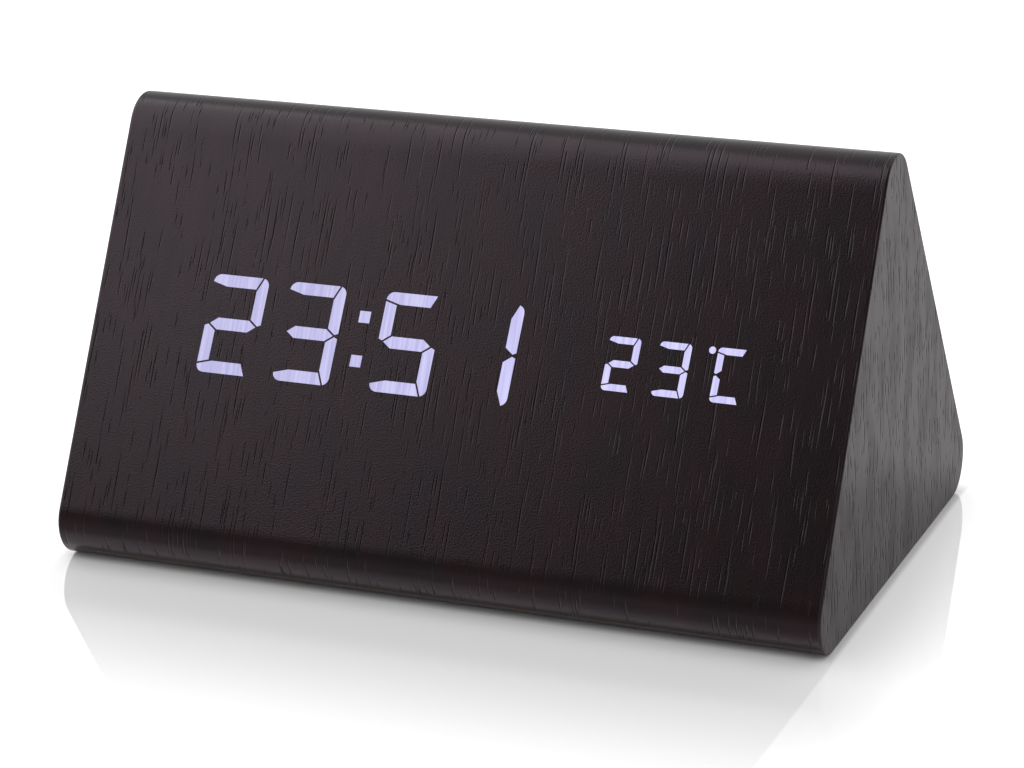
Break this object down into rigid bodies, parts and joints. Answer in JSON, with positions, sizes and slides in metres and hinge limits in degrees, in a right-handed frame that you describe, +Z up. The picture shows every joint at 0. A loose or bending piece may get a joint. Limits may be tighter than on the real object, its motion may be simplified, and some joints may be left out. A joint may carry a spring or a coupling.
{
  "type": "digital alarm clock",
  "caption": "Triangular-prism desk alarm clock of skinned fibreboard, whose time and temperature shine through a dark wood-grain front, with rear setting buttons and a battery door below.",
  "frame": {"origin": "middle of the footprint, on the table plane", "axes": "+X along the length, to the right as the display is read; the display faces -Y and up; +Z up"},
  "size_m": [0.15, 0.0898, 0.0796],
  "materials": {
    "fibreboard": "raw fibreboard",
    "wood_film": "dark wood-grain film, satin",
    "end_film": "dark wood-grain film, satin",
    "lit_segment": "light through the film",
    "diffuser": "frosted film",
    "white_plastic": "white moulding",
    "lamp": "white lamp resin",
    "circuit_board": "green solder mask",
    "chip_plastic": "black moulding",
    "ivory_plastic": "ivory moulding",
    "ribbon": "grey flat cable",
    "panel_plastic": "fine texture",
    "button_plastic": "satin",
    "plated_steel": "nickel plated",
    "cell_jacket": "plain printed jacket",
    "red_wire": "insulated wire",
    "black_wire": "insulated wire"
  },
  "bodies": {
    "case": {"front_board": "fibreboard", "back_board": "fibreboard", "base_board": "fibreboard", "left_end_board": "fibreboard", "right_end_board": "fibreboard", "seam_strips": "fibreboard", "wrap_skin": "wood_film", "base_skin": "wood_film", "left_end_skin": "end_film", "right_end_skin": "end_film", "lit_time": "lit_segment", "lit_temperature": "lit_segment", "diffuser_film": "diffuser", "segment_reflector": "white_plastic", "display_leds": "lamp", "display_pcb": "circuit_board", "main_pcb": "circuit_board", "driver_chip": "chip_plastic", "main_chip": "chip_plastic", "beeper": "chip_plastic", "reservoir_capacitor": "chip_plastic", "usb_tongue": "chip_plastic", "thermistor": "chip_plastic", "push_switches": "chip_plastic", "display_socket": "ivory_plastic", "main_socket": "ivory_plastic", "ribbon_cable": "ribbon", "rear_panel": "panel_plastic", "battery_box": "panel_plastic", "usb_shell": "plated_steel", "microphone": "plated_steel", "quartz_crystal": "plated_steel", "contact_plates": "plated_steel", "contact_springs": "plated_steel", "pan_screws": "plated_steel", "countersunk_screws": "plated_steel", "battery_cells": "cell_jacket", "positive_lead": "red_wire", "negative_lead": "black_wire"},
    "set_button": {"set_button": "button_plastic", "set_plunger": "ivory_plastic"},
    "up_button": {"up_button": "button_plastic", "up_plunger": "ivory_plastic"},
    "down_button": {"down_button": "button_plastic", "down_plunger": "ivory_plastic"},
    "battery_door": {"battery_door": "panel_plastic"}
  },
  "joints": [
    {"name": "set_press", "type": "slide", "parent": "case", "child": "set_button", "axis": [0, -0.866, -0.5], "range_m": [0, 0.0005], "stiffness_N_per_m": 1000, "springref_m": -0.0005},
    {"name": "up_press", "type": "slide", "parent": "case", "child": "up_button", "axis": [0, -0.866, -0.5], "range_m": [0, 0.0005], "stiffness_N_per_m": 1000, "springref_m": -0.0005},
    {"name": "down_press", "type": "slide", "parent": "case", "child": "down_button", "axis": [0, -0.866, -0.5], "range_m": [0, 0.0005], "stiffness_N_per_m": 1000, "springref_m": -0.0005},
    {"name": "battery_door_swing", "type": "hinge", "parent": "case", "child": "battery_door", "pos_m": [0, 0.01675, 0.0012], "axis": [1, 0, 0], "range_deg": [0, 95]}
  ]
}
